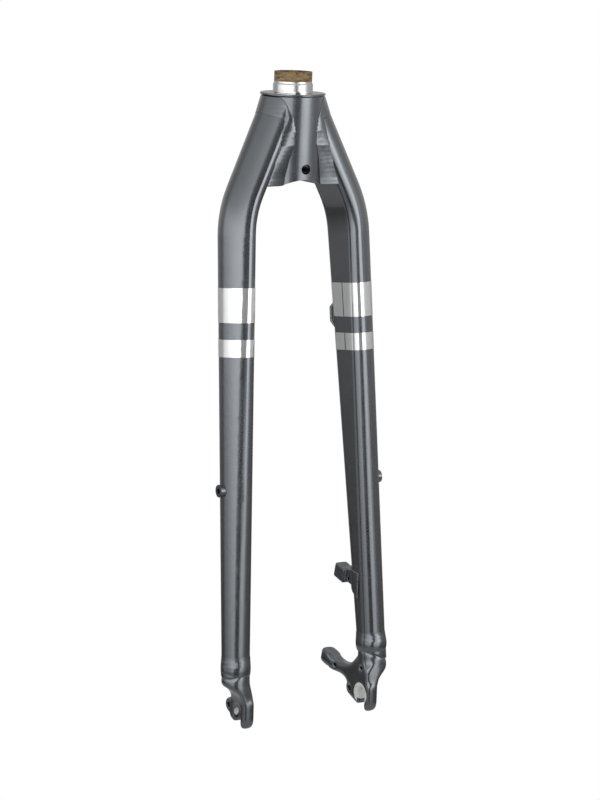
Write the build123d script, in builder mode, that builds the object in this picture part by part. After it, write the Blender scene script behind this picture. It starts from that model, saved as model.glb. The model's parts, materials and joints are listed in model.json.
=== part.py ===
"""Rigid bicycle fork for a disc brake: crown, bent blades, forged dropouts and welded fittings.

Millimetres. Z runs up the steerer, the front of the bicycle is -Y and its left side is +X.
The origin is on the steerer's axis, on the shoulder that the headset's crown race sits on.
"""
import os
from math import acos, cos, degrees, radians, sin, sqrt, tan

from build123d import *

os.makedirs("parts", exist_ok=True)

# steerer and crown
steerer_d = 28.6
steerer_bore = 22.4
steerer_top = 15.8
steerer_foot = -48.0
socket_d = 27.6
seat_d = 30.0
seat_h = 7.2
crown_r = 23.2
lip_r = 24.7
lip_h = 2.4
crown_foot = -68.2
arch_r = 32.0
arch_top = -63.6
guard_hole_d = 7.6
guard_hole_z = -55.8

# blade centreline: a straight upper run, a bend and a straight lower run
bend_x, bend_y, bend_z = 50.4, -5.9, -88.7
head_x, head_y = 8.9, 1.2
tip_x, tip_y, tip_z = 60.2, -44.0, -430.0
bend_r = 84.0
blade_head_z = 6.0
blade_foot_z = -421.5
blade_run_z = -440.0
head_wall, foot_wall = 3.6, 2.2

# blade section: a half circle outside, a flattened side inside, turned a little to the rear
oval_r, oval_w = 17.8, 24.8
foot_r, foot_w = 10.75, 20.9
oval_turn = 8.4

# dropouts
rake, axle_drop = 45.8, 460.7
hub_half = 50.0
drop_t = 9.0
spot_depth = 0.3
spot_d = 18.0
axle_slot = 9.4
plug_r = 10.4
spigot_r = 8.2
ramp_low, ramp_rise, ramp_round = -446.4, 10.6, 12.0
stem_low = 8.0
right_stem, right_flare = 13.0, 3.4
left_stem, left_flare = 17.0, 8.5
prong_round, prong_edge, prong_low = 6.6, 2.2, 12.5
ridge_front, ridge_rear = -9.2, 8.6
eye_r = 11.1
collar_drop = 8.0
collar_tilt = 22.0
collar_r = 10.85
eyelet_at = (17.3, 0.3)
eyelet_r = 5.4
eyelet_t = 7.6
m5_drill = 4.2
m6_drill = 5.0

# brake posts
post_spacing = 74.2
post_tilt = 13.0
post_mid = (46.5, 54.4)
post_x = 53.0
post_in, post_out = 46.0, 59.0
post_h = 11.6
post_round, post_edge = 5.6, 1.2
upper_hole_depth, lower_hole_depth = 14.0, 21.0
arm_in, arm_out = 48.0, 57.0
arm_root, arm_end = 16.0, 44.0
post_weld = 1.6
vent_d = 3.0
lower_vent = (35.2, 14.2)
upper_vent = (20.6, 86.8)
plug_vent = (0.6, 20.5)

# fittings
boss_z = -294.0
boss_d = 9.5
boss_proud = 2.9
boss_depth = 9.0
boss_zone = 8.0
guide_z = -168.5
guide_angle = 120.0
guide_seat = 16.6
guide_h = 3.4
guide_w = 6.0

# weld bead between blade and crown: height, then its edges on the crown and round the blade, front and rear
weld_line = (
    (-8.0, 14.6, 66.0, 17.0, 34.0),
    (-17.0, 10.3, 83.0, 13.4, 50.0),
    (-27.0, 8.4, 89.0, 12.6, 55.0),
    (-38.0, 9.2, 107.0, 13.4, 60.0),
    (-50.0, 12.6, 127.0, 14.8, 76.0),
    (-62.0, 14.6, 144.0, 16.8, 104.0),
    (-72.0, 15.4, 152.0, 17.8, 122.0),
)
weld_bulge = 0.7
weld_top, weld_low = 2.4, 0.2
weld_end_z = -20.0

# longer than anything here, for cuts that run right through
far = 600.0


# blade centreline worked out from the two runs
axle = Vector(0.0, -rake, -axle_drop)
bend_at = Vector(bend_x, bend_y, bend_z)
upper_aim = Vector(head_x, head_y, 0.0)
lower_aim = Vector(tip_x, tip_y, tip_z)
e1 = (bend_at - upper_aim).normalized()
e2 = (lower_aim - bend_at).normalized()
turn = acos(e1.dot(e2))
tangent = bend_r * tan(turn / 2)
inward = (e2 - e1 * e1.dot(e2)).normalized()
bend_start = bend_at - e1 * tangent
bend_end = bend_at + e2 * tangent
bend_centre = bend_start + inward * bend_r


def on_lower(z):
    """Point on the lower run at height z."""
    return bend_at + e2 * ((z - bend_at.Z) / e2.Z)


def on_upper(z):
    """Point on the upper run at height z."""
    return bend_at + e1 * ((z - bend_at.Z) / e1.Z)


def across(point, along, turned=0.0):
    """Plane square to the blade: x points outwards, y to the rear."""
    up = along * -1
    out = (Vector(1, 0, 0) - up * up.X).normalized()
    rear = up.cross(out)
    x_dir = out * cos(radians(turned)) + rear * sin(radians(turned))
    return Plane(origin=point, x_dir=x_dir, z_dir=up)


bend_axis = Axis(bend_centre, e1.cross(inward))
low_x = across(bend_end, e2, oval_turn).x_dir
high_x = low_x.rotate(bend_axis, -degrees(turn))


def taper(z):
    """Radius and width of the section on the lower run at height z."""
    share = (z - bend_end.Z) / (lower_aim.Z - bend_end.Z)
    return oval_r + (foot_r - oval_r) * share, oval_w + (foot_w - oval_w) * share


def blade_face(plane, r, w):
    """Blade section as a face: half circle of radius r, overall width w, flattened inner side."""
    corner = w - r
    flat = r - corner
    mid = w / 2 - r
    bevel = corner * sin(radians(45))
    with BuildSketch(plane) as face:
        with BuildLine():
            ThreePointArc((mid, -r), (mid + r, 0), (mid, r))
            ThreePointArc((mid, r), (mid - bevel, flat + bevel), (mid - corner, flat))
            Line((mid - corner, flat), (mid - corner, -flat))
            ThreePointArc((mid - corner, -flat), (mid - bevel, -flat - bevel), (mid, -r))
        make_face()
    return face.sketch


def high_face(z, inset):
    """Section of the upper run where its middle is at height z, moved inwards by inset all round."""
    plane = Plane(origin=on_upper(z), x_dir=high_x, z_dir=e1 * -1)
    return blade_face(plane, oval_r - inset, oval_w - 2 * inset)


def low_face(z, inset):
    """Section of the lower run where its middle is at height z, moved inwards by inset all round."""
    plane = Plane(origin=on_lower(z), x_dir=low_x, z_dir=e2 * -1)
    r, w = taper(z)
    return blade_face(plane, r - inset, w - 2 * inset)


def on_blade(z, angle):
    """Point on the outside of the upper run at height z; the angle runs from outwards to the rear."""
    corner = oval_w - oval_r
    mid = oval_w / 2 - oval_r
    side = 1 if angle > 0 else -1
    c, s = cos(radians(angle)), sin(radians(angle))
    local = (mid + oval_r * c, oval_r * s)
    if abs(angle) > 90:
        local = (mid + corner * c, side * (oval_r - corner) + corner * s)
    plane = Plane(origin=on_upper(z), x_dir=high_x, z_dir=e1 * -1)
    point = plane.from_local_coords(local)
    return point + e1 * ((z - point.Z) / e1.Z)


def side_plane(x):
    """Plane square to X with its origin on the axle: x runs to the rear, y up."""
    return Plane(origin=(x, axle.Y, axle.Z), x_dir=(0, 1, 0), z_dir=(1, 0, 0))


def post_plane(y, z):
    """Rear face of a brake post whose middle is at y, z from the axle; its normal runs back and up."""
    back = Vector(0, cos(radians(post_tilt)), sin(radians(post_tilt)))
    return Plane(origin=(post_x, axle.Y + y, axle.Z + z), x_dir=(1, 0, 0), z_dir=back)


def post_face(y, z):
    """Section of a brake post: well rounded outside, nearly square inside."""
    with BuildSketch(post_plane(y, z)) as face:
        with Locations(((post_in + post_out) / 2 - post_x, 0)):
            Rectangle(post_out - post_in, post_h)
        fillet(face.vertices().group_by(Axis.X)[-1], post_round)
        fillet(face.vertices().group_by(Axis.X)[0], post_edge)
    return face.sketch


foot_plane = across(on_lower(blade_foot_z), e2)
collar_plane = Plane(
    origin=on_lower(blade_foot_z - collar_drop),
    x_dir=(cos(radians(collar_tilt)), 0, -sin(radians(collar_tilt))),
    z_dir=(sin(radians(collar_tilt)), 0, cos(radians(collar_tilt))),
)
post_up = (-sin(radians(post_tilt)) * post_spacing / 2, cos(radians(post_tilt)) * post_spacing / 2)
upper_post = (post_mid[0] + post_up[0], post_mid[1] + post_up[1])
lower_post = (post_mid[0] - post_up[0], post_mid[1] - post_up[1])
lower_face = post_face(*lower_post)
upper_face = post_face(*upper_post)
inner_x = hub_half - spot_depth
outer_x = hub_half + drop_t

upper_run = (bend_start - on_upper(blade_head_z)).length
boss_span = (boss_z + boss_zone, boss_z - boss_zone)
boss_out = on_lower(boss_z).X + taper(boss_z)[1] / 2 + boss_proud

# tools shared by several pieces
with BuildPart() as blade_core:
    extrude(high_face(blade_head_z, 0), amount=-upper_run)
    revolve(high_face(bend_start.Z, 0), axis=bend_axis, revolution_arc=degrees(turn))
    loft(sections=[low_face(z, 0) for z in (bend_end.Z, *boss_span, blade_run_z)], ruled=True)

bore_top = high_face(bend_start.Z, head_wall)
bore_bend = low_face(bend_end.Z, head_wall)
bore_foot = low_face(blade_run_z, foot_wall)


def bore_wall(z):
    """Wall of the lower run at height z."""
    share = (z - bend_end.Z) / (blade_run_z - bend_end.Z)
    return head_wall + (foot_wall - head_wall) * share


bore_steps = [low_face(z, bore_wall(z)) for z in boss_span]

with BuildPart() as blade_space:
    extrude(high_face(blade_head_z, head_wall), amount=-upper_run)
    loft(sections=[bore_top, bore_bend], ruled=True)
    loft(sections=[bore_bend, *bore_steps, bore_foot], ruled=True)

with BuildPart() as boss_hole:
    with Locations(Location((boss_out, on_lower(boss_z).Y, boss_z), (0, 90, 0))):
        Cylinder(m5_drill / 2, 2 * boss_depth)

with BuildPart() as crown:
    with BuildSketch(Plane.XZ):
        with BuildLine():
            Polyline(
                (0, crown_foot), (crown_r, crown_foot), (crown_r, -lip_h), (lip_r, 1.2 - lip_h),
                (lip_r, -0.5), (lip_r - 0.5, 0), (seat_d / 2, 0), (seat_d / 2, seat_h - 0.8),
                (seat_d / 2 - 0.6, seat_h), (0, seat_h), close=True,
            )
        make_face()
    revolve(axis=Axis.Z)
    with Locations((0, 0, steerer_foot)):
        Cylinder(socket_d / 2, far, align=(Align.CENTER, Align.CENTER, Align.MIN), mode=Mode.SUBTRACT)
    Cylinder(steerer_bore / 2, far, mode=Mode.SUBTRACT)
    with Locations(Location((0, 0, arch_top - arch_r), (90, 0, 0))):
        Cylinder(arch_r, far, mode=Mode.SUBTRACT)
    with Locations(Location((0, 0, guard_hole_z), (90, 0, 0))):
        Cylinder(guard_hole_d / 2, far, mode=Mode.SUBTRACT)

with BuildPart() as steerer_tube:
    with Locations((0, 0, steerer_foot)):
        Cylinder(socket_d / 2, seat_h - steerer_foot, align=(Align.CENTER, Align.CENTER, Align.MIN))
    with Locations((0, 0, seat_h)):
        Cylinder(steerer_d / 2, steerer_top - seat_h, align=(Align.CENTER, Align.CENTER, Align.MIN))
    Cylinder(steerer_bore / 2, far, mode=Mode.SUBTRACT)

with BuildPart() as left_blade:
    add(blade_core.part)
    add(blade_space.part, mode=Mode.SUBTRACT)
    Cylinder(crown_r, far, mode=Mode.SUBTRACT)
    with Locations((0, 0, -lip_h)):
        Box(far, far, far, align=(Align.CENTER, Align.CENTER, Align.MIN), mode=Mode.SUBTRACT)
    split(bisect_by=foot_plane, keep=Keep.TOP)
    add(boss_hole.part, mode=Mode.SUBTRACT)


def weld_level(z, front_x, front_angle, rear_x, rear_angle):
    """Face across the joint at height z, bulging between the bead's edges on the crown and on the blade."""
    front = (front_x, -sqrt(crown_r ** 2 - front_x ** 2))
    rear = (rear_x, sqrt(crown_r ** 2 - rear_x ** 2))
    front_toe = on_blade(z, -front_angle)
    rear_toe = on_blade(z, rear_angle)
    front_mid = ((front[0] + front_toe.X) / 2, (front[1] + front_toe.Y) / 2 - weld_bulge)
    rear_mid = ((rear[0] + rear_toe.X) / 2, (rear[1] + rear_toe.Y) / 2 + weld_bulge)
    with BuildSketch(Plane.XY.offset(z)) as face:
        with BuildLine():
            Line((0, 0), front)
            ThreePointArc(front, front_mid, (front_toe.X, front_toe.Y))
            Line((front_toe.X, front_toe.Y), (rear_toe.X, rear_toe.Y))
            ThreePointArc((rear_toe.X, rear_toe.Y), rear_mid, rear)
            Line(rear, (0, 0))
        make_face()
    return face.sketch


weld_faces = [weld_level(*row) for row in weld_line]
collar_faces = [high_face(blade_head_z, -weld_top), high_face(weld_end_z, -weld_low)]

with BuildPart() as left_crown_weld:
    loft(sections=weld_faces, ruled=True)
    loft(sections=collar_faces, ruled=True)
    Cylinder(crown_r, far, mode=Mode.SUBTRACT)
    add(blade_core.part, mode=Mode.SUBTRACT)
    with Locations(Location((0, 0, arch_top - arch_r), (90, 0, 0))):
        Cylinder(arch_r, far, mode=Mode.SUBTRACT)
    with Locations((0, 0, crown_foot)):
        Box(far, far, far, align=(Align.CENTER, Align.CENTER, Align.MAX), mode=Mode.SUBTRACT)
    with Locations((0, 0, -lip_h)):
        Box(far, far, far, align=(Align.CENTER, Align.CENTER, Align.MIN), mode=Mode.SUBTRACT)

with BuildPart() as left_dropout_weld:
    with BuildSketch(foot_plane):
        Circle(collar_r)
        Circle(spigot_r, mode=Mode.SUBTRACT)
    extrude(amount=-3 * collar_drop)
    split(bisect_by=collar_plane, keep=Keep.TOP)

with BuildPart() as scallop:
    with BuildSketch(Plane.XZ) as scallop_face:
        with BuildLine():
            Polyline(
                (outer_x, ramp_low), (outer_x + 18, ramp_low + ramp_rise),
                (outer_x + 18, -far), (outer_x, -far), close=True,
            )
        make_face()
        fillet(scallop_face.vertices().sort_by_distance((outer_x, ramp_low))[0], ramp_round)
    extrude(amount=far, both=True)

with BuildPart() as axle_cut:
    with BuildSketch(side_plane(inner_x - 10)):
        Circle(axle_slot / 2)
        with Locations((0, -20)):
            Rectangle(axle_slot, 40)
    extrude(amount=40)
    with BuildSketch(side_plane(inner_x - 10)):
        Circle(spot_d / 2)
    extrude(amount=hub_half - inner_x + 10)
    with BuildSketch(side_plane(inner_x - 5)):
        with Locations(eyelet_at):
            Circle(m5_drill / 2)
    extrude(amount=30)

stem_plane = across(on_lower(axle.Z + stem_low), e2)
ridges = [
    stem_plane.to_local_coords(Vector(inner_x, axle.Y + y, axle.Z + stem_low))
    for y in (ridge_front, ridge_rear)
]


def stem(length, flare):
    """Stem above the axle: round outside, flat inside, its inner corners dying away into the round plug."""
    with BuildPart() as body:
        with BuildSketch(stem_plane):
            with BuildLine():
                CenterArc((0, 0), plug_r, 0, 360)
                Line((ridges[0].X, ridges[0].Y), (ridges[1].X, ridges[1].Y))
            make_hull()
        extrude(amount=length)
        with Locations(stem_plane):
            Cone(
                plug_r + flare, plug_r, length,
                align=(Align.CENTER, Align.CENTER, Align.MIN), mode=Mode.INTERSECT,
            )
        with BuildSketch(stem_plane):
            Circle(plug_r)
        extrude(amount=2 * length)
        split(bisect_by=collar_plane, keep=Keep.BOTTOM)
        with Locations((inner_x, axle.Y, axle.Z)):
            Box(far, far, far, align=(Align.MAX, Align.CENTER, Align.CENTER), mode=Mode.SUBTRACT)
    return body.part


with BuildPart() as prong:
    with BuildSketch(side_plane(inner_x)):
        with BuildLine():
            Polyline(
                (0.0, stem_low + 4.5), (-8.0, stem_low + 4.5), (-eye_r, stem_low),
                (-eye_r, prong_round - prong_low),
            )
            RadiusArc((-eye_r, prong_round - prong_low), (prong_round - eye_r, -prong_low), -prong_round)
            Polyline((prong_round - eye_r, -prong_low), (0.0, -prong_low), (0.0, stem_low + 4.5))
        make_face()
    extrude(amount=outer_x - inner_x)
    front = prong.edges().filter_by(Plane.YZ).filter_by_position(Axis.Y, axle.Y - far, axle.Y - 6.0)
    fillet(front.filter_by(lambda edge: edge.center().Y < axle.Y - 7.5), prong_edge)

with BuildPart() as dropout_body:
    with BuildSketch(side_plane(inner_x)):
        with BuildLine():
            Polyline((0.0, 14.0), (0.0, -10.9), (4.7, -9.6), (11.8, -6.9), (11.2, 6.0))
            Spline((11.2, 6.0), (10.6, 11.0), (9.0, 16.0))
            Polyline((9.0, 16.0), (5.0, 17.0), (0.0, 14.0))
        make_face()
    extrude(amount=outer_x - inner_x)
    with BuildSketch(side_plane(inner_x)):
        with BuildLine():
            Polyline((4.7, -9.6), (18.6, -4.9), (17.3, 5.7), (10.0, 5.7), (4.7, 4.0), close=True)
        make_face()
        with Locations(eyelet_at):
            Circle(eyelet_r)
    extrude(amount=eyelet_t)
    add(prong.part)
    with BuildSketch(foot_plane.offset(-2 * collar_drop)):
        Circle(spigot_r)
    extrude(amount=3 * collar_drop)

with BuildPart() as right_dropout:
    add(dropout_body.part)
    add(stem(right_stem, right_flare))
    add(scallop.part, mode=Mode.SUBTRACT)
    add(axle_cut.part, mode=Mode.SUBTRACT)
    mirror(about=Plane.YZ, mode=Mode.REPLACE)

with BuildPart() as arm_trim:
    with BuildSketch(Plane.XY.offset(axle.Z)):
        with BuildLine():
            Polyline(
                (inner_x, axle.Y - far), (inner_x, axle.Y + arm_root), (post_in, axle.Y + arm_end),
                (post_in - far, axle.Y + arm_end), (post_in - far, axle.Y - far), close=True,
            )
        make_face()
    extrude(amount=far, both=True)

with BuildPart() as brake_arm:
    with BuildSketch(side_plane(post_in)):
        with BuildLine():
            Polyline((2.0, 6.0), (8.0, -8.0), (12.0, -6.9))
            Spline((12.0, -6.9), (18.0, 3.0), (26.0, 8.2), (36.0, 9.0), (44.0, 9.9))
            Line((44.0, 9.9), (44.0, 20.6))
            Spline((44.0, 20.6), (38.0, 18.6), (29.0, 17.6), (18.0, 19.8), (9.6, 27.0))
            Polyline((9.6, 27.0), (7.0, 27.0), (2.0, 18.0), (2.0, 6.0))
        make_face()
    extrude(amount=arm_out - post_in)
    extrude(lower_face, amount=-11)
    add(arm_trim.part, mode=Mode.SUBTRACT)

with BuildPart() as left_dropout:
    add(dropout_body.part)
    add(stem(left_stem, left_flare))
    add(scallop.part, mode=Mode.SUBTRACT)
    add(brake_arm.part)
    add(axle_cut.part, mode=Mode.SUBTRACT)
    with BuildSketch(post_plane(*lower_post)):
        Circle(m6_drill / 2)
    extrude(amount=-lower_hole_depth, mode=Mode.SUBTRACT)
    with BuildSketch(side_plane(post_x)):
        with Locations(lower_vent):
            Circle(vent_d / 2)
    extrude(amount=-far, mode=Mode.SUBTRACT)
    with BuildSketch(side_plane(inner_x + drop_t / 2)):
        with Locations(plug_vent):
            Circle(vent_d / 2)
    extrude(amount=-far, mode=Mode.SUBTRACT)

with BuildPart() as upper_brake_post:
    extrude(upper_face, amount=-13)
    with BuildSketch(side_plane(arm_in)):
        with BuildLine():
            Polyline(
                (30.0, 84.6), (24.0, 84.2), (17.0, 83.0), (8.0, 77.4), (8.0, 93.0), (28.0, 94.6), close=True,
            )
        make_face()
    extrude(amount=arm_out - arm_in)
    add(blade_core.part, mode=Mode.SUBTRACT)
    with BuildSketch(post_plane(*upper_post)):
        Circle(m6_drill / 2)
    extrude(amount=-upper_hole_depth, mode=Mode.SUBTRACT)
    with BuildSketch(side_plane(post_x)):
        with Locations(upper_vent):
            Circle(vent_d / 2)
    extrude(amount=-far, mode=Mode.SUBTRACT)

skin_faces = [low_face(axle.Z + h, -post_weld) for h in (110.0, 60.0)]

with BuildPart() as upper_post_weld:
    loft(sections=skin_faces, ruled=True)
    with BuildSketch(side_plane(post_in - post_weld)):
        with BuildLine():
            Polyline((22.0, 83.0), (18.0, 82.4), (5.0, 74.6), (5.0, 95.0), (28.0, 98.0), close=True)
        make_face()
    extrude(amount=post_out - post_in + 2 * post_weld, mode=Mode.INTERSECT)
    add(blade_core.part, mode=Mode.SUBTRACT)
    add(upper_brake_post.part, mode=Mode.SUBTRACT)
    with BuildSketch(post_plane(*upper_post)):
        Circle(m6_drill / 2)
    extrude(amount=-upper_hole_depth, mode=Mode.SUBTRACT)
    add(upper_post_weld.solids().sort_by(SortBy.VOLUME)[-1], mode=Mode.REPLACE)

with BuildPart() as left_rack_boss:
    with Locations(Location((boss_out, on_lower(boss_z).Y, boss_z), (0, 90, 0))):
        Cylinder(boss_d / 2, boss_out - on_lower(boss_z).X, align=(Align.CENTER, Align.CENTER, Align.MAX))
    add(blade_core.part, mode=Mode.SUBTRACT)
    add(boss_hole.part, mode=Mode.SUBTRACT)

guide_at = on_lower(guide_z)
guide_out = low_x * cos(radians(guide_angle)) + (e2 * -1).cross(low_x) * sin(radians(guide_angle))
guide_plane = Plane(origin=guide_at + guide_out * guide_seat, x_dir=e2 * -1, z_dir=e2.cross(guide_out) * -1)

with BuildPart() as hose_guide:
    with BuildSketch(guide_plane):
        with BuildLine():
            Polyline(
                (-10.0, -6.0), (-10.0, 0.0), (-5.0, guide_h), (6.0, guide_h),
                (10.0, 0.0), (10.0, -6.0), close=True,
            )
        make_face()
        with BuildLine():
            Polyline(
                (-7.0, -7.0), (-7.0, 0.0), (-4.2, guide_h - 1.7), (5.0, guide_h - 1.7),
                (7.4, 0.0), (7.4, -7.0), close=True,
            )
        make_face(mode=Mode.SUBTRACT)
    extrude(amount=guide_w / 2, both=True)
    add(blade_core.part, mode=Mode.SUBTRACT)


with BuildPart() as right_blade:
    mirror(left_blade.part, about=Plane.YZ)

with BuildPart() as right_crown_weld:
    mirror(left_crown_weld.part, about=Plane.YZ)

with BuildPart() as right_dropout_weld:
    mirror(left_dropout_weld.part, about=Plane.YZ)

with BuildPart() as right_rack_boss:
    mirror(left_rack_boss.part, about=Plane.YZ)

pieces = {
    "steerer_tube": steerer_tube,
    "crown": crown,
    "left_blade": left_blade,
    "right_blade": right_blade,
    "left_crown_weld": left_crown_weld,
    "right_crown_weld": right_crown_weld,
    "left_dropout": left_dropout,
    "right_dropout": right_dropout,
    "left_dropout_weld": left_dropout_weld,
    "right_dropout_weld": right_dropout_weld,
    "upper_brake_post": upper_brake_post,
    "upper_post_weld": upper_post_weld,
    "left_rack_boss": left_rack_boss,
    "right_rack_boss": right_rack_boss,
    "hose_guide": hose_guide,
}
for name, piece in pieces.items():
    piece.part.label = name
    export_step(piece.part, f"parts/{name}.step")
    print(name, piece.part.is_valid, len(piece.part.solids()), round(piece.part.volume))
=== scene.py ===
# %% [markdown]
# A rigid bicycle fork for a disc brake, dressed for a studio picture.
# The shape comes from the CAD model, which is loaded here as a fixed frame in metres: Z runs up the steerer,
# the front of the bicycle is -Y and its left side is +X. This file gives every surface its finish, softens
# the welds and the forgings, adds foil bands and a bead of weld to each blade, and sets up the studio.

# %% Load the frame
import json
from math import atan2, cos, degrees, pi, radians, sin

import bmesh
import bpy
from mathutils import Matrix, Vector


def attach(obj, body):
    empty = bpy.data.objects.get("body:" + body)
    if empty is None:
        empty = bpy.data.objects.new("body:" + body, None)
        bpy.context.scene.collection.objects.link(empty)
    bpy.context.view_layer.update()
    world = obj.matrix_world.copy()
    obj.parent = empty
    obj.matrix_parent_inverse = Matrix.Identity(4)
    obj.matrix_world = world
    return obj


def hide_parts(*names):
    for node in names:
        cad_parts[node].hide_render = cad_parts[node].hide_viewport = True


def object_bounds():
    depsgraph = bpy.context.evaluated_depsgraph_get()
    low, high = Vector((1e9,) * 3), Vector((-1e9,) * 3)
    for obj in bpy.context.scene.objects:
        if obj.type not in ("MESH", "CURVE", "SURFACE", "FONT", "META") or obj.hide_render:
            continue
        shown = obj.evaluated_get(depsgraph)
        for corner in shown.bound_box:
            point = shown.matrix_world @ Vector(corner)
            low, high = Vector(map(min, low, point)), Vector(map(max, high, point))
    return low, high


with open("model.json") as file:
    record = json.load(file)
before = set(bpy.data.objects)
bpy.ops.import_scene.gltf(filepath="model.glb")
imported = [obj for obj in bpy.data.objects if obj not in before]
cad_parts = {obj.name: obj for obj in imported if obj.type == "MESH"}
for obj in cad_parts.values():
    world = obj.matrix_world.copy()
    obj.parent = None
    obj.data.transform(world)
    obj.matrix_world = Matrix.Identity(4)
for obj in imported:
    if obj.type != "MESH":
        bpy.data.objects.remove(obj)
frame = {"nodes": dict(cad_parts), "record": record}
cad_low, cad_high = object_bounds()
nodes = frame["nodes"]
mm = 0.001
print("CAD pieces:", len(nodes), "from", tuple(cad_low), "to", tuple(cad_high))

# %% [markdown]
# The camera stands in front of the fork, on its right side and a little above it, with a long lens.
# Yaw, tilt and roll were found by fitting the fork's standard sizes to the picture: 28.6 mm steerer,
# 30 mm race seat and 100 mm between the dropouts. The lens shift keeps the fork where the picture has it.

# %% Set up the camera
camera_yaw = radians(29.786)
camera_tilt = radians(9.154)
camera_roll = radians(-1.654)
camera_place = Vector((-1018.22, -1745.27, 145.02)) * mm
camera_lens = 121.116
camera_shift = (0.0455, -0.0883)

ahead = Vector((sin(camera_yaw), cos(camera_yaw), 0))
right = Vector((cos(camera_yaw), -sin(camera_yaw), 0))
down = Vector((0, 0, -1))
view_axis = cos(camera_tilt) * ahead + sin(camera_tilt) * down
view_down = cos(camera_tilt) * down - sin(camera_tilt) * ahead
rolled_right = cos(camera_roll) * right + sin(camera_roll) * view_down
rolled_down = cos(camera_roll) * view_down - sin(camera_roll) * right

camera = bpy.data.objects.new("camera", bpy.data.cameras.new("camera"))
camera_turn = Matrix((rolled_right, -rolled_down, -view_axis)).transposed().to_4x4()
camera.matrix_world = Matrix.Translation(camera_place) @ camera_turn
camera.data.lens = camera_lens
camera.data.shift_x, camera.data.shift_y = camera_shift
bpy.context.scene.collection.objects.link(camera)
bpy.context.scene.camera = camera
bpy.context.scene.view_settings.view_transform = "Standard"
print("camera at", tuple(camera.location))

# %% [markdown]
# Every finish is a tree of shader nodes, which could be wired by hand in the shader editor. In code a few
# helpers keep the trees short: they start a material, add a node with its socket values, map a number from
# one range to another, and give a place on the object, a noise, a mix of colours, a calculation and a
# distance.

# %% Shader helpers


def start_material(name):
    material = bpy.data.materials.new(name)
    material.use_nodes = True
    tree = material.node_tree
    tree.nodes.clear()
    output = tree.nodes.new("ShaderNodeOutputMaterial")
    return material, tree, output


def add_node(tree, kind, values=None, **settings):
    made = tree.nodes.new("ShaderNode" + kind)
    for name, value in settings.items():
        setattr(made, name, value)
    for socket, value in (values or {}).items():
        if isinstance(value, bpy.types.NodeSocket):
            tree.links.new(value, made.inputs[socket])
        else:
            made.inputs[socket].default_value = value
    return made


def ramp_value(tree, value, from_low, from_high, to_low=0.0, to_high=1.0, shape="SMOOTHSTEP"):
    mapped = add_node(
        tree,
        "MapRange",
        {"Value": value, "From Min": from_low, "From Max": from_high, "To Min": to_low, "To Max": to_high},
        interpolation_type=shape,
    )
    return mapped.outputs["Result"]


def object_place(tree):
    return add_node(tree, "TexCoord").outputs["Object"]


def noise(tree, scale, detail=2.0, roughness=0.5, place=None):
    values = {"Vector": place or object_place(tree), "Scale": scale, "Detail": detail, "Roughness": roughness}
    return add_node(tree, "TexNoise", values).outputs["Fac"]


def mix_colours(tree, share, first, second):
    first_socket, second_socket, result_socket = 6, 7, 2
    values = {"Factor": share, first_socket: first, second_socket: second}
    return add_node(tree, "Mix", values, data_type="RGBA").outputs[result_socket]


def calc(tree, operation, first, second=0.0):
    return add_node(tree, "Math", {0: first, 1: second}, operation=operation).outputs["Value"]


def distance(tree, first, second):
    squares = [calc(tree, "MULTIPLY", leg, leg) for leg in (first, second)]
    return calc(tree, "SQRT", calc(tree, "ADD", *squares))


print("shader helpers ready")

# %% [markdown]
# The fork is painted in a dark grey metallic lacquer: flakes of aluminium in a grey base under a clear coat.
# The base is mostly metallic with a soft gloss, and the coat on top is smooth and sharp. A fine noise stands
# for the flakes, and a wider one gives the coat the faint ripple that sprayed lacquer has.

# %% Grey lacquer
lacquer_dark = (0.155, 0.168, 0.182, 1)
lacquer_light = (0.163, 0.176, 0.190, 1)
flake_size = 0.35 * mm
flake_range = (0.3, 0.7)
flake_metal = 0.9
patches_per_metre = 60.0
gloss_patch_range = (0.2, 0.8)
lacquer_gloss = (0.21, 0.27)
ripple_size = 4 * mm
ripple_height = 0.2 * mm
ripple_strength = 0.008
coat_roughness = 0.05
coat_refraction = 1.5


def lacquer(tree, bead_bump=None):
    place = object_place(tree)
    flakes = noise(tree, 1 / flake_size, detail=1.0, place=place)
    ripple = noise(tree, 1 / ripple_size, detail=1.0, place=place)
    patches = noise(tree, patches_per_metre, place=place)
    bump = add_node(tree, "Bump", {"Strength": ripple_strength, "Distance": ripple_height, "Height": ripple})
    if bead_bump is not None:
        tree.links.new(bead_bump, bump.inputs["Normal"])
    values = {
        "Base Color": mix_colours(tree, ramp_value(tree, flakes, *flake_range), lacquer_dark, lacquer_light),
        "Metallic": flake_metal,
        "Roughness": ramp_value(tree, patches, *gloss_patch_range, *lacquer_gloss),
        "Normal": bump.outputs["Normal"],
        "Coat Weight": 1.0,
        "Coat Roughness": coat_roughness,
        "Coat IOR": coat_refraction,
        "Coat Normal": bump.outputs["Normal"],
    }
    return add_node(tree, "BsdfPrincipled", values).outputs["BSDF"]


paint, paint_tree, paint_output = start_material("grey_lacquer")
paint_tree.links.new(lacquer(paint_tree), paint_output.inputs["Surface"])
print("made", paint.name)

# %% [markdown]
# The weld beads are painted with the rest, but the molten metal froze in small waves across each bead.
# A wave texture along the height, bent by some noise, is used as bump under the lacquer, because the waves
# are only a few hundredths of a millimetre high. Blender's wave texture turns 20 radians in a length of one,
# so its scale follows from the pitch of the waves.

# %% Painted weld beads
wave_pitch = 3.3 * mm
wave_radians = 20
wave_bend = 5.0
wave_detail_scale = 0.4
wave_share = 0.12
weld_lump_size = 7 * mm
weld_bump_height = 0.35 * mm
weld_bump_strength = 0.4

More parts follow.
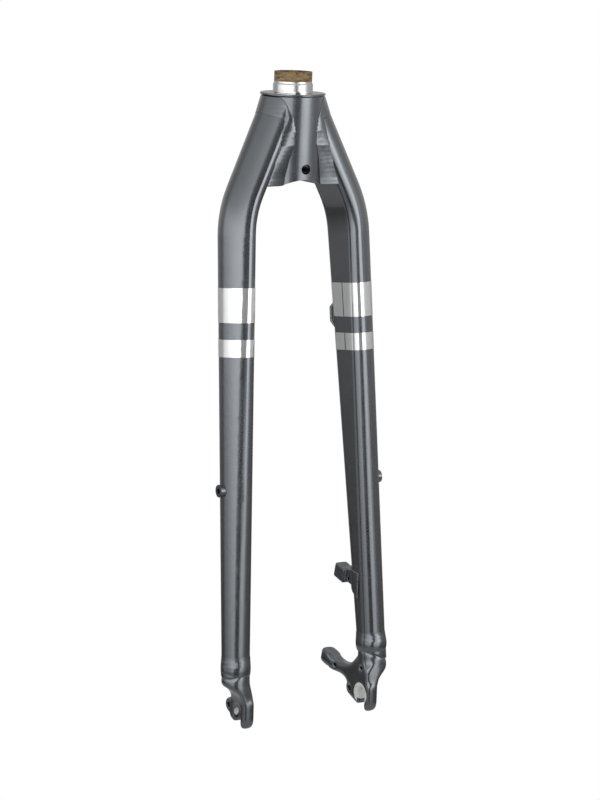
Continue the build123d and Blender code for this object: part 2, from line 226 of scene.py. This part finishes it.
weld_paint, weld_tree, weld_output = start_material("painted_weld")
wave_values = {
    "Vector": object_place(weld_tree),
    "Scale": 2 * pi / (wave_radians * wave_pitch),
    "Distortion": wave_bend,
    "Detail": 1.0,
    "Detail Scale": wave_detail_scale,
}
waves = add_node(weld_tree, "TexWave", wave_values, bands_direction="Z")
low_waves = calc(weld_tree, "MULTIPLY", waves.outputs["Fac"], wave_share)
weld_bump_values = {
    "Strength": weld_bump_strength,
    "Distance": weld_bump_height,
    "Height": calc(weld_tree, "ADD", low_waves, noise(weld_tree, 1 / weld_lump_size)),
}
weld_bump = add_node(weld_tree, "Bump", weld_bump_values)
weld_tree.links.new(lacquer(weld_tree, weld_bump.outputs["Normal"]), weld_output.inputs["Surface"])
print("made", weld_paint.name)

# %% [markdown]
# Where the lacquer was masked or cut away the fork is bare aluminium: on the race seat, which is turned, and
# on the round spot faces round the axle, which are milled. Both show fine rings, so the bare finish takes a
# distance, measured along or from the turning axis, and makes thin bands of it.

# %% Bare aluminium
bare_bright = (0.84, 0.84, 0.83, 1)
bare_smudged = (0.70, 0.70, 0.69, 1)
smudges_per_metre = 160.0
smudge_tint_range = (0.25, 0.8)
smudge_gloss_range = (0.3, 0.75)
ring_pitch = 0.5 * mm
ring_height = 0.02 * mm
ring_strength = 0.25


def bare_metal(tree, ring_distance, shine, gloss_range):
    rings = calc(tree, "SINE", calc(tree, "MULTIPLY", ring_distance, 2 * pi / ring_pitch))
    smudges = noise(tree, smudges_per_metre, detail=3.0)
    tint_share = ramp_value(tree, smudges, *smudge_tint_range)
    bump = add_node(tree, "Bump", {"Strength": ring_strength, "Distance": ring_height, "Height": rings})
    values = {
        "Base Color": mix_colours(tree, tint_share, bare_bright, bare_smudged),
        "Metallic": shine,
        "Roughness": ramp_value(tree, smudges, *smudge_gloss_range, *gloss_range),
        "Normal": bump.outputs["Normal"],
    }
    return add_node(tree, "BsdfPrincipled", values).outputs["BSDF"]


def lacquer_with_bare(name, make_mask_and_rings, shine, gloss_range):
    material, tree, output = start_material(name)
    mask, ring_distance = make_mask_and_rings(tree)
    bare = bare_metal(tree, ring_distance, shine, gloss_range)
    layers = add_node(tree, "MixShader", {0: mask, 1: lacquer(tree), 2: bare})
    tree.links.new(layers.outputs["Shader"], output.inputs["Surface"])
    return material


print("bare aluminium ready")

# %% [markdown]
# The crown is lacquered up to its shoulder, and the race seat above the shoulder is bare. The shoulder is at
# height zero in this frame, so the height alone tells the two finishes apart. A little noise makes the edge
# of the lacquer uneven, as a masked edge is.

# %% Crown finish
mask_from, mask_to = 0.14 * mm, 0.35 * mm
mask_waves_per_metre = 400.0
mask_wander = 0.4 * mm
seat_shine = 1.0
seat_gloss = (0.18, 0.26)


def race_seat_mask(tree):
    height = add_node(tree, "SeparateXYZ", {"Vector": object_place(tree)}).outputs["Z"]
    wander = calc(tree, "SUBTRACT", noise(tree, mask_waves_per_metre), 0.5)
    uneven = calc(tree, "MULTIPLY", wander, mask_wander)
    return ramp_value(tree, calc(tree, "ADD", height, uneven), mask_from, mask_to), height


crown_finish = lacquer_with_bare("lacquered_crown_bare_seat", race_seat_mask, seat_shine, seat_gloss)
print("made", crown_finish.name)

# %% [markdown]
# Each dropout has a milled spot face, 18 mm across, where the hub's end cap is clamped. The wall of the axle
# slot is bare too: all of it on the left, and an oval patch worn by the axle on the right. The mask is made
# of distances: from the axle in the YZ plane, and from the middle of the fork along X, which is the same on
# both sides once its sign is dropped.

# %% Dropout finish
record_mounts = {mount["name"]: mount for mount in frame["record"]["mounts"]}
axle_at = Vector(record_mounts["left_axle_slot"]["pos_m"])
spot_radius = 9 * mm
spot_face_x = 50 * mm
slot_bare_radius = 6.6 * mm
outer_face_x = 58.4 * mm
worn_x, worn_half_width = 56.8 * mm, 1.7 * mm
worn_above, worn_half_height = -1.2 * mm, 2.9 * mm
worn_edge = (1.1, 0.9)
soft_edge = 0.12 * mm
milled_shine = 0.15
milled_gloss = (0.42, 0.55)


def milled_mask(tree):
    place = add_node(tree, "SeparateXYZ", {"Vector": object_place(tree)})
    along = calc(tree, "SUBTRACT", place.outputs["Y"], axle_at.y)
    above = calc(tree, "SUBTRACT", place.outputs["Z"], axle_at.z)
    from_axle = distance(tree, along, above)
    from_middle = calc(tree, "ABSOLUTE", place.outputs["X"])
    in_spot = ramp_value(tree, from_axle, spot_radius, spot_radius - soft_edge)
    at_face = ramp_value(tree, from_middle, spot_face_x + 2 * soft_edge, spot_face_x + soft_edge)
    spot = calc(tree, "MULTIPLY", in_spot, at_face)
    across = calc(tree, "DIVIDE", calc(tree, "SUBTRACT", from_middle, worn_x), worn_half_width)
    up = calc(tree, "DIVIDE", calc(tree, "SUBTRACT", above, worn_above), worn_half_height)
    in_oval = ramp_value(tree, distance(tree, across, up), *worn_edge)
    on_left = ramp_value(tree, place.outputs["X"], 0.0, soft_edge)
    in_slot = ramp_value(tree, from_axle, slot_bare_radius + 3 * soft_edge, slot_bare_radius)
    under_face = ramp_value(tree, from_middle, outer_face_x + soft_edge, outer_face_x)
    slot_wall = calc(tree, "MULTIPLY", in_slot, under_face)
    slot = calc(tree, "MULTIPLY", slot_wall, calc(tree, "MAXIMUM", on_left, in_oval))
    return calc(tree, "MAXIMUM", spot, slot), from_axle


dropout_finish = lacquer_with_bare("lacquered_dropout_milled_faces", milled_mask, milled_shine, milled_gloss)
print("made", dropout_finish.name, "about the axle at", tuple(axle_at))

# %% [markdown]
# Only a short end of the steerer shows above the race seat. Its foot is bare, as the seat is, and the rest is
# covered by a dull brown film, mottled and streaked round the tube, as left by heat and oil. Two noises mix
# three browns, one of them stretched round the tube by a mapping that squeezes its height.

# %% Brown film on the steerer
film_starts = 8.6 * mm
film_edge = 0.15 * mm
dark_brown = (0.11, 0.062, 0.022, 1)
middle_brown = (0.27, 0.175, 0.066, 1)
light_brown = (0.38, 0.285, 0.125, 1)
blotches_per_metre = 260.0
blotch_roughness = 0.65
blotch_range = (0.35, 0.65)
streaks_per_metre = 150.0
streak_squeeze = (1.0, 1.0, 3.5)
streak_range = (0.42, 0.68)
film_metal = 0.25
film_gloss_range, film_gloss = (0.3, 0.7), (0.38, 0.6)
film_bump_height = 0.1 * mm
film_bump_strength = 0.3

film, film_tree, film_output = start_material("brown_film")
film_place = object_place(film_tree)
squeezed = add_node(film_tree, "Mapping", {"Vector": film_place, "Scale": streak_squeeze}).outputs["Vector"]
blotches = noise(film_tree, blotches_per_metre, detail=4.0, roughness=blotch_roughness, place=film_place)
streaks = noise(film_tree, streaks_per_metre, detail=3.0, place=squeezed)
mottled = mix_colours(film_tree, ramp_value(film_tree, blotches, *blotch_range), dark_brown, middle_brown)
film_bump_values = {"Strength": film_bump_strength, "Distance": film_bump_height, "Height": blotches}
film_values = {
    "Base Color": mix_colours(film_tree, ramp_value(film_tree, streaks, *streak_range), mottled, light_brown),
    "Metallic": film_metal,
    "Roughness": ramp_value(film_tree, streaks, *film_gloss_range, *film_gloss),
    "Normal": add_node(film_tree, "Bump", film_bump_values).outputs["Normal"],
}
film_height = add_node(film_tree, "SeparateXYZ", {"Vector": film_place}).outputs["Z"]
film_layers = {
    0: ramp_value(film_tree, film_height, film_starts - film_edge, film_starts + film_edge),
    1: bare_metal(film_tree, film_height, seat_shine, seat_gloss),
    2: add_node(film_tree, "BsdfPrincipled", film_values).outputs["BSDF"],
}
film_mix = add_node(film_tree, "MixShader", film_layers)
film_tree.links.new(film_mix.outputs["Shader"], film_output.inputs["Surface"])
print("made", film.name)

# %% [markdown]
# Each CAD piece now gets its finish. Its mesh and its place stay as the CAD model gives them, and only the
# material in its slot changes.

# %% Dress the CAD pieces
side_signs = {"left": 1, "right": -1}
finishes = {name: paint for name in nodes}
finishes["crown"] = crown_finish
finishes["steerer_tube"] = film
for side in side_signs:
    finishes[side + "_dropout"] = dropout_finish
    finishes[side + "_crown_weld"] = weld_paint
    finishes[side + "_dropout_weld"] = weld_paint
finishes["upper_post_weld"] = weld_paint
for name, finish in finishes.items():
    nodes[name].data.materials.clear()
    nodes[name].data.materials.append(finish)
print("dressed", len(finishes), "pieces in", len(set(finishes.values())), "finishes")

# %% [markdown]
# The weld beads are frozen metal, and the brake post and the hose guide have rounded edges under thick paint.
# A bevel needs clean edges, and a bead has none, so modifiers soften the whole skin instead: a fine voxel
# remesh makes an even skin of each piece, some rounds of smoothing take its edges off, and on the large beads
# a displacement swells it and adds lumps. The CAD solids keep their plain edges underneath.

# %% Soft edges and swollen beads
lump_cloud = bpy.data.textures.new("bead_lumps", "CLOUDS")
lump_cloud.noise_scale = 15 * mm
lump_cloud.noise_depth = 1
smoothing_share = 0.5
bead_grain_and_rounds = {"crown_weld": (0.27 * mm, 18), "dropout_weld": (0.3 * mm, 25)}
bead_swell_and_lumps = {"crown_weld": (0.05 * mm, 0.4 * mm), "dropout_weld": (0.15 * mm, 0.1 * mm)}
small_grain_and_rounds = {
    "upper_brake_post": (0.4 * mm, 6),
    "upper_post_weld": (0.3 * mm, 10),
    "hose_guide": (0.35 * mm, 5),
}


def soften(piece, grain, rounds):
    skin = piece.modifiers.new("even_skin", "REMESH")
    skin.mode = "VOXEL"
    skin.voxel_size = grain
    skin.use_smooth_shade = True
    relax = piece.modifiers.new("soft_edges", "SMOOTH")
    relax.factor = smoothing_share
    relax.iterations = rounds


def swell(piece, height, lumps):
    plump = piece.modifiers.new("swollen", "DISPLACE")
    plump.strength = height
    plump.mid_level = 0.0
    uneven = piece.modifiers.new("lumps", "DISPLACE")
    uneven.texture = lump_cloud
    uneven.texture_coords = "LOCAL"
    uneven.strength = lumps
    uneven.mid_level = 0.5


for side in side_signs:
    for bead in bead_grain_and_rounds:
        soften(nodes[f"{side}_{bead}"], *bead_grain_and_rounds[bead])
        swell(nodes[f"{side}_{bead}"], *bead_swell_and_lumps[bead])
for name, grain_and_rounds in small_grain_and_rounds.items():
    soften(nodes[name], *grain_and_rounds)
print("softened", [name for name, node in nodes.items() if node.modifiers])

# %% [markdown]
# A real dropout comes out of its die solid, and its holes are drilled afterwards. Each side has an eyelet for
# the mudguard, and the left side also has the hole for the caliper's bolt and two small vents. A drill is a
# closed cylinder here, which a Boolean can take away from another piece. A hole is given by its middle,
# measured from the axle, its direction, its radius and its length, in millimetres.

# %% Drills for the dropouts
drill_segments = 32
eyelet_hole = ((0, 17.3, 0.3), (1, 0, 0), 2.1, 30)
caliper_hole = ((-1.5, 54.85, 18.25), (0, 0.974, 0.225), 2.5, 42)
arm_vent = ((-9.5, 35.2, 14.2), (1, 0, 0), 1.5, 16)
stem_vent = ((-8.3, 0.6, 20.5), (1, 0, 0), 1.5, 16)
dropout_holes = {"left": (eyelet_hole, caliper_hole, arm_vent, stem_vent), "right": (eyelet_hole,)}


def mesh_object(mesh, name):
    data = bpy.data.meshes.new(name)
    mesh.to_mesh(data)
    mesh.free()
    made = bpy.data.objects.new(name, data)
    bpy.context.scene.collection.objects.link(made)
    return made


def drill(side, hole):
    offset, direction, radius, length = hole
    middle = Vector((axle_at.x * side_signs[side], axle_at.y, axle_at.z)) + Vector(offset) * mm
    turned = Matrix.Translation(middle) @ Vector(direction).to_track_quat("Z", "Y").to_matrix().to_4x4()
    mesh = bmesh.new()
    bmesh.ops.create_cone(
        mesh,
        cap_ends=True,
        segments=drill_segments,
        radius1=radius * mm,
        radius2=radius * mm,
        depth=length * mm,
        matrix=turned,
    )
    return mesh_object(mesh, "drill")


print("holes to drill:", {side: len(holes) for side, holes in dropout_holes.items()})

# %% [markdown]
# A forging has no flat facets where the stem turns into the prong, so the dropouts need far more smoothing
# than the beads, and that would close their holes. So each dropout is smoothed as a copy, which then has its
# holes drilled again. The finished copy stands for the CAD node, and has its form with rounded edges.

# %% Forged dropouts
forge_grain = 0.5 * mm
forge_rounds = 160
forge_swell = 0.45 * mm
forge_lumps = 0.1 * mm
crisp_hole_angle = radians(40)


def forge(side):
    name = side + "_dropout"
    blank = bpy.data.objects.new("blank", nodes[name].data.copy())
    bpy.context.scene.collection.objects.link(blank)
    soften(blank, forge_grain, forge_rounds)
    swell(blank, forge_swell, forge_lumps)
    drills = [drill(side, hole) for hole in dropout_holes[side]]
    for tool in drills:
        cut = blank.modifiers.new("hole", "BOOLEAN")
        cut.operation = "DIFFERENCE"
        cut.solver = "EXACT"
        cut.object = tool
    bpy.context.view_layer.update()
    finished = blank.evaluated_get(bpy.context.evaluated_depsgraph_get())
    data = bpy.data.meshes.new_from_object(finished)
    # Removing a mesh also removes the object that shows it.
    for used in (blank, *drills):
        bpy.data.meshes.remove(used.data)
    data.name = side + "_forged_dropout"
    data.materials.clear()
    data.materials.append(dropout_finish)
    forging = bpy.data.objects.new(data.name, data)
    bpy.context.scene.collection.objects.link(forging)
    crisp = forging.modifiers.new("crisp_holes", "EDGE_SPLIT")
    crisp.split_angle = crisp_hole_angle
    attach(forging, "root")
    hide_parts(name)
    print(forging.name, len(data.polygons), "faces,", len(drills), "holes")


for side in side_signs:
    forge(side)

# %% [markdown]
# Below its bend a blade runs straight down to its foot, leaning forward and outward, and its section is
# flattened on the inner side. What is put on it follows its own directions: up along the run, across the
# section and along the section's flat side. They could be read off the mesh, but two points on the run and
# the turn of the section about it are enough, and the right blade mirrors the left one.

# %% Directions of a blade
bend_at = Vector((50.4, -5.9, -88.7)) * mm
foot_at = Vector((60.2, -44.0, -430.0)) * mm
section_turn = radians(8.4)


def blade_directions(side):
    sign = side_signs[side]
    start = Vector((bend_at.x * sign, bend_at.y, bend_at.z))
    foot = Vector((foot_at.x * sign, foot_at.y, foot_at.z))
    up = (start - foot).normalized()
    outward = Vector((sign, 0, 0))
    outward = (outward - up * up.dot(outward)).normalized()
    rear = (up.cross(outward) * sign).normalized()
    across = outward * cos(section_turn) + rear * sin(section_turn)
    along = rear * cos(section_turn) - outward * sin(section_turn)
    return start, up, across, along


for side in side_signs:
    print(side, "blade runs along", tuple(blade_directions(side)[1]))

# %% [markdown]
# What lies on a blade is best cut from the blade's own skin, because then it fits exactly. A copy of the mesh
# is sliced by two planes square to the blade, and the faces of the bore are thrown away. A Solidify modifier
# then gives the strip its wall, and splitting the sharp edges keeps them crisp under smooth shading.

# %% Strips of blade skin
merge_distance = 0.001 * mm
crisp_edge_angle = radians(35)


def slice_mesh(mesh, point, direction, clear=False):
    everything = mesh.verts[:] + mesh.edges[:] + mesh.faces[:]
    bmesh.ops.bisect_plane(mesh, geom=everything, plane_co=point, plane_no=direction, clear_outer=clear)


def blade_strip(side, top, bottom, up):
    mesh = bmesh.new()
    mesh.from_mesh(nodes[side + "_blade"].data)
    bmesh.ops.remove_doubles(mesh, verts=mesh.verts, dist=merge_distance)
    slice_mesh(mesh, top, up, clear=True)
    slice_mesh(mesh, bottom, -up, clear=True)
    bore = [face for face in mesh.faces if (face.calc_center_median() - bottom).dot(face.normal) < 0]
    bmesh.ops.delete(mesh, geom=bore, context="FACES")
    return mesh


def skin_piece(mesh, name, material, thickness, offset):
    for face in mesh.faces:
        face.smooth = True
    piece = mesh_object(mesh, name)
    piece.data.materials.append(material)
    wall = piece.modifiers.new("wall", "SOLIDIFY")
    wall.thickness = thickness
    wall.offset = offset
    wall.use_even_offset = True
    crisp = piece.modifiers.new("crisp_edges", "EDGE_SPLIT")
    crisp.split_angle = crisp_edge_angle
    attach(piece, "root")
    return piece


print("strips are split at", round(degrees(crisp_edge_angle)), "degrees")

# %% [markdown]
# The bands are a bright, slightly hazy foil. A metallic shader gives the mirror, and a share of it stays
# plain pale paint, because the clear film over such a foil scatters some light. A wide noise bends the
# mirror a little, as creases do.

# %% Foil finish
foil_dull = (0.86, 0.87, 0.88, 1)
foil_bright = (0.92, 0.92, 0.92, 1)
foil_metal = 0.68
haze_per_metre = 300.0
haze_range, foil_gloss = (0.3, 0.7), (0.07, 0.09)
creases_per_metre = 45.0
crease_height = 0.4 * mm
crease_strength = 0.012

foil, foil_tree, foil_output = start_material("bright_foil")
foil_place = object_place(foil_tree)
creases = noise(foil_tree, creases_per_metre, place=foil_place)
haze = noise(foil_tree, haze_per_metre, place=foil_place)
crease_values = {"Strength": crease_strength, "Distance": crease_height, "Height": creases}
foil_values = {
    "Base Color": mix_colours(foil_tree, haze, foil_dull, foil_bright),
    "Metallic": foil_metal,
    "Roughness": ramp_value(foil_tree, haze, *haze_range, *foil_gloss),
    "Normal": add_node(foil_tree, "Bump", crease_values).outputs["Normal"],
}
foil_shader = add_node(foil_tree, "BsdfPrincipled", foil_values)
foil_tree.links.new(foil_shader.outputs["BSDF"], foil_output.inputs["Surface"])
print("made", foil.name)

# %% [markdown]
# Two bands of foil go round each blade, a wide one and a narrow one. Each is a strip of the blade's skin,
# lifted a hair off the paint and given the thickness of the foil. Its two ends don't quite meet on the
# blade's flat inner side: the strip is sliced twice along the blade there, and the sliver between is removed.

# %% Foil bands
skin_lift = 0.05 * mm
foil_thickness = 0.10 * mm
foil_outwards = 1.0
seam_from, seam_to = -1.1 * mm, 0.1 * mm
band_heights = {"wide": (-143.9 * mm, -169.6 * mm), "narrow": (-182.0 * mm, -195.0 * mm)}


def foil_band(side, width):
    start, up, across, along = blade_directions(side)
    high, low = (start + up * (height - start.z) / up.z for height in band_heights[width])
    mesh = blade_strip(side, high, low, up)
    for offset in (seam_from, seam_to):
        slice_mesh(mesh, low + along * offset, along)
    gap = []
    for face in mesh.faces:
        middle = face.calc_center_median() - low
        if middle.dot(across) < 0 and seam_from < middle.dot(along) < seam_to:
            gap.append(face)
    bmesh.ops.delete(mesh, geom=gap, context="FACES")
    mesh.normal_update()
    for vertex in mesh.verts:
        vertex.co += vertex.normal * skin_lift
    band = skin_piece(mesh, f"{side}_{width}_band", foil, foil_thickness, foil_outwards)
    print(band.name, len(band.data.polygons), "faces, seam faces cut:", len(gap))


for side in side_signs:
    for width in band_heights:
        foil_band(side, width)

# %% [markdown]
# Where each blade's foot meets the stem of its dropout a bead of weld runs round it. It swells softly out of
# the blade and ends in a sharper toe below, and each drop of filler left a lump. The bead is cut from the
# blade's skin a little higher up, sliced into rows and columns, pushed outwards and slid down the blade.

# %% Beads at the feet
bead_heights = {"left": (-412.5 * mm, -427.0 * mm), "right": (-418.5 * mm, -433.0 * mm)}
bead_slide = 14 * mm
bead_rows = 10
bead_columns = 44
row_merge_distance = 0.01 * mm
bead_bulge = {"left": 1.0 * mm, "right": 0.6 * mm}
toe_sharpness = 1.5
bead_lumps = 9
lump_share = 0.07
lump_twist = 3
bead_wall = 0.3 * mm
bead_inwards = -1.0


def foot_bead(side):
    start, up, across, along = blade_directions(side)
    slide = up * bead_slide
    top, toe = (start + up * (height - start.z) / up.z + slide for height in bead_heights[side])
    mesh = blade_strip(side, top, toe, up)
    for row in range(1, bead_rows):
        slice_mesh(mesh, toe.lerp(top, row / bead_rows), up)
    for column in range(bead_columns):
        turn = pi * column / bead_columns
        slice_mesh(mesh, toe, across * cos(turn) + along * sin(turn))
    bmesh.ops.remove_doubles(mesh, verts=mesh.verts, dist=row_merge_distance)
    mesh.normal_update()
    length = (top - toe).length
    for vertex in mesh.verts:
        place = vertex.co - toe
        share = min(max(1 - place.dot(up) / length, 0), 1)
        outward = across * place.dot(across) + along * place.dot(along)
        turn = atan2(place.dot(along), place.dot(across))
        lump = 1 - lump_share + lump_share * cos(bead_lumps * turn + lump_twist * share)
        push = bead_bulge[side] * sin(pi * share ** toe_sharpness) * lump + skin_lift
        vertex.co += outward.normalized() * push - slide
    bead = skin_piece(mesh, side + "_foot_bead", weld_paint, bead_wall, bead_inwards)
    print(bead.name, len(bead.data.polygons), "faces")


for side in side_signs:
    foot_bead(side)

# %% [markdown]
# The studio is a white room, and the fork is seen against its plain white. The world could hold a picture of
# a real studio, but plain white at strength one keeps the ground of the picture even and adds no tint.

# %% White room
white_colour = (1, 1, 1, 1)
world = bpy.data.worlds.new("white_room")
bpy.context.scene.world = world
world.use_nodes = True
world.node_tree.nodes["Background"].inputs["Color"].default_value = white_colour
world.node_tree.nodes["Background"].inputs["Strength"].default_value = 1.0
print("world", world.name)

# %% [markdown]
# The fork hangs by its steerer, well above a pale floor. Most of what the camera sees of the floor is its own
# white, and near the middle a share of it is shaded, so the fork's shadow stays. Out to the tent that stands
# on it, the white the fork mirrors of the floor is dimmed and the floor's grey is darker: this is painted
# shade, because a white floor there would show as white patches on every face that looks down.

# %% Pale floor
floor_radius = 9.0
floor_drop = 0.95
floor_segments = 96
shadow_from, shadow_to, shadow_share = 1.6, 0.2, 0.14
# Out to the tent the floor gets painted shade: its grey is darker and its mirrored white is dimmed.
painted_shade_from, painted_shade_to, painted_shade_share = 3.2, 2.72, 0.85
floor_pale = (0.9, 0.9, 0.9, 1)
floor_painted_shade_grey = (0.35, 0.35, 0.35, 1)
floor_height = cad_low.z - floor_drop

floor_mesh = bmesh.new()
bmesh.ops.create_circle(floor_mesh, cap_ends=True, segments=floor_segments, radius=floor_radius)
bmesh.ops.translate(floor_mesh, verts=floor_mesh.verts, vec=(0, 0, floor_height))
floor = mesh_object(floor_mesh, "floor")

floor_paint, floor_tree, floor_output = start_material("pale_floor")
floor_place = add_node(floor_tree, "SeparateXYZ", {"Vector": object_place(floor_tree)})
floor_reach = distance(floor_tree, floor_place.outputs["X"], floor_place.outputs["Y"])
shaded = ramp_value(floor_tree, floor_reach, shadow_from, shadow_to, 0.0, shadow_share)
painted_shade = ramp_value(floor_tree, floor_reach, painted_shade_from, painted_shade_to, 0.0, painted_shade_share)
rays = add_node(floor_tree, "LightPath").outputs
mirrored = calc(floor_tree, "MAXIMUM", rays["Is Glossy Ray"], rays["Is Transmission Ray"])
seen_white = calc(floor_tree, "MULTIPLY", rays["Is Camera Ray"], calc(floor_tree, "SUBTRACT", 1.0, shaded))
mirror_white = calc(floor_tree, "MULTIPLY", mirrored, calc(floor_tree, "SUBTRACT", 1.0, painted_shade))
# Painted shade: the floor's grey darkens towards the middle.
floor_grey = mix_colours(floor_tree, painted_shade, floor_pale, floor_painted_shade_grey)
floor_layers = {
    0: calc(floor_tree, "MAXIMUM", seen_white, mirror_white),
    1: add_node(floor_tree, "BsdfDiffuse", {"Color": floor_grey}).outputs["BSDF"],
    2: add_node(floor_tree, "Emission", {"Color": white_colour, "Strength": 1.0}).outputs["Emission"],
}
floor_mix = add_node(floor_tree, "MixShader", floor_layers)
floor_tree.links.new(floor_mix.outputs["Shader"], floor_output.inputs["Surface"])
floor.data.materials.append(floor_paint)
print("floor at", floor_height)

# %% [markdown]
# Round the fork stands a light tent, which the camera looks through. Its cloth is bright where a soft box
# shines on it and dark in the gaps between, and those bright and dark stretches are what the lacquer and the
# foil mirror: a wide one from the camera to its left, a dark gap on its right, and a second light beyond it.
# Lamps could make them too, but a cloth gives each stretch its own width and brightness. A stretch is a
# bearing from the camera in degrees and a level, and the cloth also has a level for each height in metres.

# %% Light and dark stretches
tent_stretches = (
    (-180, 0.15),
    (-150, 0.18),
    (-138, 0.18),
    (-102, 0.14),
    (-90, 0.42),
    (-40, 0.66),
    (0, 0.84),
    (7, 0.93),
    (12, 0.03),
    (41, 0.03),
    (47, 1.1),
    (70, 1.1),
    (84, 0.27),
    (104, 0.18),
    (138, 0.18),
    (150, 0.15),
    (180, 0.15),
)
tent_levels = (
    (-1.42, 0.13),
    (-1.15, 0.19),
    (-0.95, 0.32),
    (-0.55, 0.55),
    (-0.35, 0.72),
    (-0.1, 0.92),
    (0.12, 1.0),
    (0.45, 0.9),
    (0.9, 0.55),
    (1.9, 0.5),
)
tent_low, tent_high = floor_height, 1.9
round_levels = [(angle / 360 + 0.5, level) for angle, level in tent_stretches]
height_levels = [((height - tent_low) / (tent_high - tent_low), level) for height, level in tent_levels]
print(len(round_levels), "stops round the tent,", len(height_levels), "stops up its wall")

# %% [markdown]
# The tent is an open cylinder that stands on the floor. Real cloth has a thickness and folds, but only its
# glow matters here, so one layer of faces is enough. The camera looks through it, and it throws no shadow.

# %% Tent wall
tent_radius = 2.6
tent_segments = 128


def look_through(cloth):
    cloth.visible_camera = False
    cloth.visible_shadow = False


tent_mesh = bmesh.new()
bmesh.ops.create_cone(
    tent_mesh,
    cap_ends=False,
    segments=tent_segments,
    radius1=tent_radius,
    radius2=tent_radius,
    depth=tent_high - tent_low,
)
bmesh.ops.translate(tent_mesh, verts=tent_mesh.verts, vec=(0, 0, (tent_high + tent_low) / 2))
tent = mesh_object(tent_mesh, "light_tent")
look_through(tent)
print("tent from", tent_low, "to", tent_high)

# %% [markdown]
# The cloth glows by itself. A colour ramp goes round it, measured from the camera's own direction, and a
# second one goes up it. From the wide light on, the stretches lean: their edges stand further to the right
# high on the wall than low on it, as soft boxes on tilted stands do. Near the top the stretches are mixed
# with an even grey, because the light spreads there.

# %% Tent cloth
tent_strength = 2.75
tent_lean = radians(42)
lean_from, lean_to = radians(-70), radians(-5)
lean_low, lean_high = -0.55, 0.15
even_from, even_to, even_share = 0.45, 1.1, 0.35
even_grey = (0.4, 0.4, 0.4, 1)


def grey_ramp(tree, value, levels):
    ramp = add_node(tree, "ValToRGB", {"Fac": value})
    stops = ramp.color_ramp.elements
    while len(stops) > 1:
        stops.remove(stops[-1])
    for number, (place, level) in enumerate(levels):
        stop = stops[0] if number == 0 else stops.new(place)
        stop.position = place
        stop.color = (level, level, level, 1)
    return ramp.outputs["Color"]


tent_cloth, tent_tree, tent_output = start_material("tent_cloth")
camera_bearing = atan2(camera_place.y, camera_place.x)
turn_values = {"Vector": object_place(tent_tree), "Angle": -camera_bearing}
turned_place = add_node(tent_tree, "VectorRotate", turn_values, rotation_type="Z_AXIS").outputs["Vector"]
tent_place = add_node(tent_tree, "SeparateXYZ", {"Vector": turned_place}).outputs
bearing = calc(tent_tree, "ARCTAN2", tent_place["Y"], tent_place["X"])
lean_here = ramp_value(tent_tree, bearing, lean_from, lean_to, 0.0, tent_lean)
lean_height = calc(tent_tree, "MAXIMUM", calc(tent_tree, "MINIMUM", tent_place["Z"], lean_high), lean_low)
leaning = calc(tent_tree, "SUBTRACT", bearing, calc(tent_tree, "MULTIPLY", lean_height, lean_here))
turns = calc(tent_tree, "ADD", calc(tent_tree, "DIVIDE", leaning, 2 * pi), 0.5)
stretches = grey_ramp(tent_tree, calc(tent_tree, "FRACT", turns), round_levels)
evened = ramp_value(tent_tree, tent_place["Z"], even_from, even_to, 0.0, even_share)
up_the_wall = ramp_value(tent_tree, tent_place["Z"], tent_low, tent_high, shape="LINEAR")
wall_level = grey_ramp(tent_tree, up_the_wall, height_levels)
glow_values = {
    "Color": mix_colours(tent_tree, evened, stretches, even_grey),
    "Strength": calc(tent_tree, "MULTIPLY", wall_level, tent_strength),
}
glow = add_node(tent_tree, "Emission", glow_values)
tent_tree.links.new(glow.outputs["Emission"], tent_output.inputs["Surface"])
tent.data.materials.append(tent_cloth)
print("the camera stands at a bearing of", round(degrees(camera_bearing), 1), "degrees")

# %% [markdown]
# A plain roof closes the tent. It glows evenly, less than the bright stretches of the wall, and lights the
# faces that look up.

# %% Tent roof
roof_segments = 64
roof_strength = 0.55

roof_mesh = bmesh.new()
bmesh.ops.create_circle(roof_mesh, cap_ends=True, segments=roof_segments, radius=tent_radius)
bmesh.ops.translate(roof_mesh, verts=roof_mesh.verts, vec=(0, 0, tent_high))
roof = mesh_object(roof_mesh, "tent_roof")
look_through(roof)

roof_cloth, roof_tree, roof_output = start_material("roof_cloth")
roof_glow = add_node(roof_tree, "Emission", {"Color": white_colour, "Strength": roof_strength})
roof_tree.links.new(roof_glow.outputs["Emission"], roof_output.inputs["Surface"])
roof.data.materials.append(roof_cloth)
print("roof at", tent_high)
